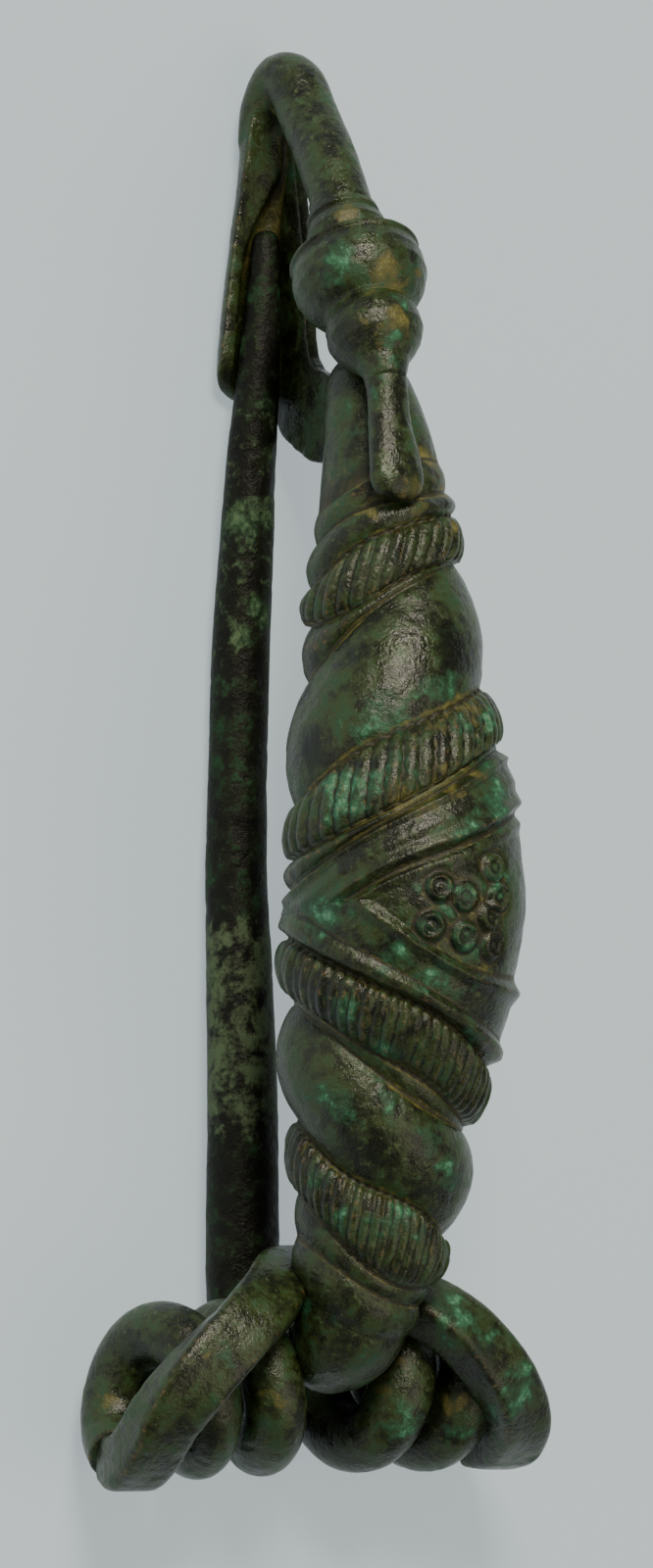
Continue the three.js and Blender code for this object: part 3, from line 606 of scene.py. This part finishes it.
def hexColour(text):
    # sRGB hex to linear
    channels = [int(text[i:i + 2], 16) / 255 for i in (1, 3, 5)]
    return [c / 12.92 if c <= 0.04045 else ((c + 0.055) / 1.055) ** 2.4 for c in channels] + [1.0]


def addNode(tree, kind, values=None, links=None, **settings):
    node = tree.nodes.new(kind)
    for key, value in settings.items():
        setattr(node, key, value)
    for key, value in (values or {}).items():
        node.inputs[key].default_value = value
    for key, source in (links or {}).items():
        tree.links.new(source, node.inputs[key])
    return node


# each pattern: grain size in mm, detail, roughness, distortion
patterns = {"broad": (4.0, 5.0, 0.6, 0.4), "mottle": (1.3, 6.0, 0.65, 0.3), "grain": (0.42, 4.0, 0.7, 0.0),
            "speck": (0.2, 2.0, 0.6, 0.0)}
storedValues = ("hollow", "green", "teal", "soil", "gloss", "dark", "pale")
# each mask is a weighted sum of patterns and of values stored on the mesh
masks = {
    "clouds": (("mottle", 0.6), ("broad", 0.4)), "flecks": (("grain", 1.0), ("mottle", 0.3)),
    "tealMask": (("teal", 1.0), ("mottle", -0.9), ("broad", -0.9)),
    "greenMask": (("green", 0.5), ("mottle", 1.9), ("grain", 1.0), ("broad", 1.0)),
    "paleGreenMask": (("greenMask", 1.0), ("speck", 0.8)),
    "soilMask": (("soil", 1.0), ("mottle", -2.2), ("grain", -1.0)),
    "paleSoilMask": (("soilMask", 1.0), ("speck", 0.8)),
    "bloomMask": (("pale", 1.0), ("mottle", 2.0), ("grain", 1.0)),
    # the groove mask places painted shade in the hollows; the edge mask places copper wear, partly a painted sheen, on
    # proud edges
    "grooveShadeMask": (("hollow", 1.0), ("grain", 0.8)), "edgeWearAndSheenMask": (("hollow", -1.0), ("grain", 1.0)),
    "relief": (("grain", 0.65), ("speck", 0.3), ("mottle", 0.5))}
# coats from the metal outwards: colour, mask, where it starts, where it is full, how much it covers. The black over
# the groove mask is painted shade in the hollows, and the copper over the edge mask is wear on proud edges that partly
# stands for a painted sheen along them
coats = (
    ("olive", "clouds", 0.42, 0.58, 1.0), ("lightOlive", "flecks", 0.7, 0.92, 0.7),
    ("teal", "tealMask", 0.1, 0.5, 0.85),
    ("deepGreen", "greenMask", 1.95, 2.35, 0.85), ("green", "greenMask", 2.3, 2.65, 0.9),
    ("paleGreen", "paleGreenMask", 2.95, 3.25, 0.6),
    ("soil", "soilMask", -1.2, -0.6, "soilShare"), ("paleSoil", "paleSoilMask", -0.35, 0.1, 0.5),
    ("bloom", "bloomMask", 2.25, 2.75, 0.7),
    # dark patina patches, then painted shade blackening the hollows
    ("black", "dark", 0.3, 0.8, 0.75), ("black", "grooveShadeMask", 0.75, 1.25, 0.8),
    # copper wear on proud edges, partly standing in for a painted sheen along them
    ("copperWearAndSheen", "edgeWearAndSheenMask", 1.5, 1.7, 0.5))
# what makes the skin duller (or, for gloss, brighter)
dulling = (("soilMask", -1.2, -0.6, 0.22), ("greenMask", 1.95, 2.5, 0.18), ("mottle", 0.35, 0.7, 0.16),
           ("gloss", 0.0, 1.0, -0.2))


def bronzePatina(name, look):
    # tin bronze, cast and worked, under a burial patina: satin olive-black skin, powdery green and ochre crusts, with
    # painted shade blackening the hollows and copper wear on proud edges that partly stands for a painted sheen
    material = bpy.data.materials.new(name)
    material.use_nodes = True
    tree = material.node_tree
    tree.nodes.clear()
    coordinates = addNode(tree, "ShaderNodeTexCoord").outputs["Object"]
    values = {}
    for key, (size, detail, roughness, distortion) in patterns.items():
        values[key] = addNode(tree, "ShaderNodeTexNoise",
                              {"Scale": 1000 / size, "Detail": detail, "Roughness": roughness,
                                                           "Distortion": distortion},
                                                           {"Vector": coordinates}).outputs["Fac"]
    for key in storedValues:
        values[key] = addNode(tree, "ShaderNodeAttribute", attribute_name=key).outputs["Fac"]
    for key, terms in masks.items():
        total = addNode(tree, "ShaderNodeMath", {1: terms[0][1]}, {0: values[terms[0][0]]},
                        operation="MULTIPLY").outputs[0]
        for source, weight in terms[1:]:
            total = addNode(tree, "ShaderNodeMath", {1: weight}, {0: values[source], 2: total},
                            operation="MULTIPLY_ADD").outputs[0]
        values[key] = total
    base = addNode(tree, "ShaderNodeRGB")
    base.outputs[0].default_value = hexColour(look["dark"])
    colour = base.outputs[0]
    for coat, mask, start, full, cover in coats:
        factor = addNode(tree, "ShaderNodeMapRange",
                         {"From Min": start, "From Max": full, "To Max": look.get(cover, cover)},
                         {"Value": values[mask]}, interpolation_type="SMOOTHSTEP").outputs["Result"]
        colour = addNode(tree, "ShaderNodeMix", {"B": hexColour(look[coat])}, {"A": colour, "Factor": factor},
                         data_type="RGBA").outputs["Result"]
    rough = None
    for mask, start, full, amount in dulling:
        step = addNode(tree, "ShaderNodeMapRange", {"From Min": start, "From Max": full, "To Max": amount},
                       {"Value": values[mask]}, interpolation_type="SMOOTHSTEP").outputs["Result"]
        links = {0: step} if rough is None else {0: step, 1: rough}
        rough = addNode(tree, "ShaderNodeMath", {1: look["roughness"]}, links, operation="ADD").outputs[0]
    bump = addNode(tree, "ShaderNodeBump", {"Strength": look["bump"], "Distance": look["bumpDepth"]},
                   {"Height": values["relief"]})
    surface = addNode(tree, "ShaderNodeBsdfPrincipled", {"Specular IOR Level": look["specular"]},
                      {"Base Color": colour, "Roughness": rough, "Normal": bump.outputs["Normal"]})
    addNode(tree, "ShaderNodeOutputMaterial", {}, {"Surface": surface.outputs["BSDF"]})
    return material


# black paints both the dark patina patches and the painted shade in the hollows
bodyLook = {"black": "#090A05", "dark": "#12170A", "olive": "#2D3817", "lightOlive": "#55623A",
            "teal": "#12332A",
            "deepGreen": "#1B3B24", "green": "#2B5F43", "paleGreen": "#5F8E72", "soil": "#504D22",
            "paleSoil": "#76733E",
            # the copper edge colour is wear and partly a painted sheen
            "bloom": "#56654A", "copperWearAndSheen": "#6B4A28", "soilShare": 0.8, "roughness": 0.23, "bump": 1.0,
            "bumpDepth": 0.00012, "specular": 0.36}
pinLook = dict(bodyLook, dark="#080905", olive="#161B0D", lightOlive="#323A22", soilShare=0.3,
               roughness=0.42, specular=0.16)
bodyBronze = bronzePatina("patinated bronze, body", bodyLook)
pinBronze = bronzePatina("patinated bronze, pin", pinLook)

bowPiece = addMesh("bow", *bowSurface())
weather(bowPiece)
print("bow made", len(bowPiece.data.polygons))
footPiece = merged("footAndCatch", footSurfaces(), foot["voxel"])
weather(footPiece, smoothing=7)
mouldingPiece = addMesh("footMouldings", *mouldingSurface())
weather(mouldingPiece)
print("foot and catch-plate made", len(footPiece.data.polygons))
springPiece = merged("spring", springSurfaces(), spring["voxel"])
weather(springPiece, smoothing=4)
chordPiece = addMesh("chord", *tubeSurface(spring["chord"], 96, 380, fromAxis, 5.0))
weather(chordPiece)
print("spring made", len(springPiece.data.polygons))
pinPiece = addMesh("pinWire", *pinSurface())
weather(pinPiece, paleStretches=pin["paleStretches"])
print("pin made", len(pinPiece.data.polygons))

for piece in (bowPiece, footPiece, mouldingPiece, springPiece, chordPiece):
    piece.data.materials.clear()
    piece.data.materials.append(bodyBronze)
    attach(piece, "brooch")
    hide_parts("brooch_body")
pinPiece.data.materials.append(pinBronze)
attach(pinPiece, "pin_arm")
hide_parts("pin")

# floor, light and camera
studio = {"floor": "#7F898F", "glowColour": "#C7D5D9", "floorSize": 2.0, "floorGlow": 0.69,
          "worldStrength": 0.2}
bpy.ops.mesh.primitive_plane_add(size=studio["floorSize"], location=(0, 0, 0))
floor = bpy.context.object
floor.name = "paleFloor"
floorMaterial = bpy.data.materials.new("pale opal acrylic, lit faintly from below")
floorMaterial.use_nodes = True
floorInputs = floorMaterial.node_tree.nodes["Principled BSDF"].inputs
floorInputs["Base Color"].default_value = hexColour(studio["floor"])
floorInputs["Roughness"].default_value = 0.9
floorInputs["Emission Color"].default_value = hexColour(studio["glowColour"])
floorInputs["Emission Strength"].default_value = studio["floorGlow"]
floor.data.materials.append(floorMaterial)

world = bpy.data.worlds.new("soft studio")
bpy.context.scene.world = world
world.use_nodes = True
world.node_tree.nodes["Background"].inputs["Color"].default_value = hexColour("#F2F5F7")
world.node_tree.nodes["Background"].inputs["Strength"].default_value = studio["worldStrength"]

camera = {"distance": 420, "side": math.radians(30), "tilt": math.radians(4), "target": (33.34, 0.74, 2.26),
          "lens": 173.88}
right = np.array([0, -math.cos(camera["side"]), math.sin(camera["side"])])
towards = np.array([-math.sin(camera["tilt"]), math.sin(camera["side"]) * math.cos(camera["tilt"]),
                    math.cos(camera["side"]) * math.cos(camera["tilt"])])
upward = np.cross(towards, right)


def addLamp(name, place, size, power, colour="#FFFFFF"):
    # place is right, up and towards the camera, in metres from the brooch's middle
    lamp = bpy.data.lights.new(name, "AREA")
    lamp.size, lamp.energy, lamp.color = size, power, hexColour(colour)[:3]
    lampObject = bpy.data.objects.new(name, lamp)
    middle = toFrame(camera["target"])
    spot = middle + right * place[0] + upward * place[1] + towards * place[2]
    lampObject.location = spot
    lampObject.rotation_euler = Vector(spot - middle).to_track_quat("Z", "Y").to_euler()
    bpy.context.scene.collection.objects.link(lampObject)


addLamp("key softbox", (0.14, 0.52, 0.58), 0.24, 7.8, "#FFF6E2")
addLamp("left fill softbox", (-0.6, 0.1, 0.5), 0.6, 1.5, "#FFF8E8")
addLamp("right fill softbox", (0.6, -0.2, 0.5), 0.6, 3.0, "#FFF4DC")

cameraData = bpy.data.cameras.new("camera")
cameraData.sensor_fit, cameraData.sensor_height, cameraData.lens = "VERTICAL", 36, camera["lens"]
cameraData.clip_start, cameraData.clip_end = 0.01, 20
cameraObject = bpy.data.objects.new("camera", cameraData)
bpy.context.scene.collection.objects.link(cameraObject)
place = toFrame(np.array(camera["target"]) + towards * camera["distance"])
turn = Matrix((right, upward, towards)).transposed()
cameraObject.matrix_world = Matrix.Translation(Vector(place)) @ turn.to_4x4()
bpy.context.scene.camera = cameraObject
print("stage set")
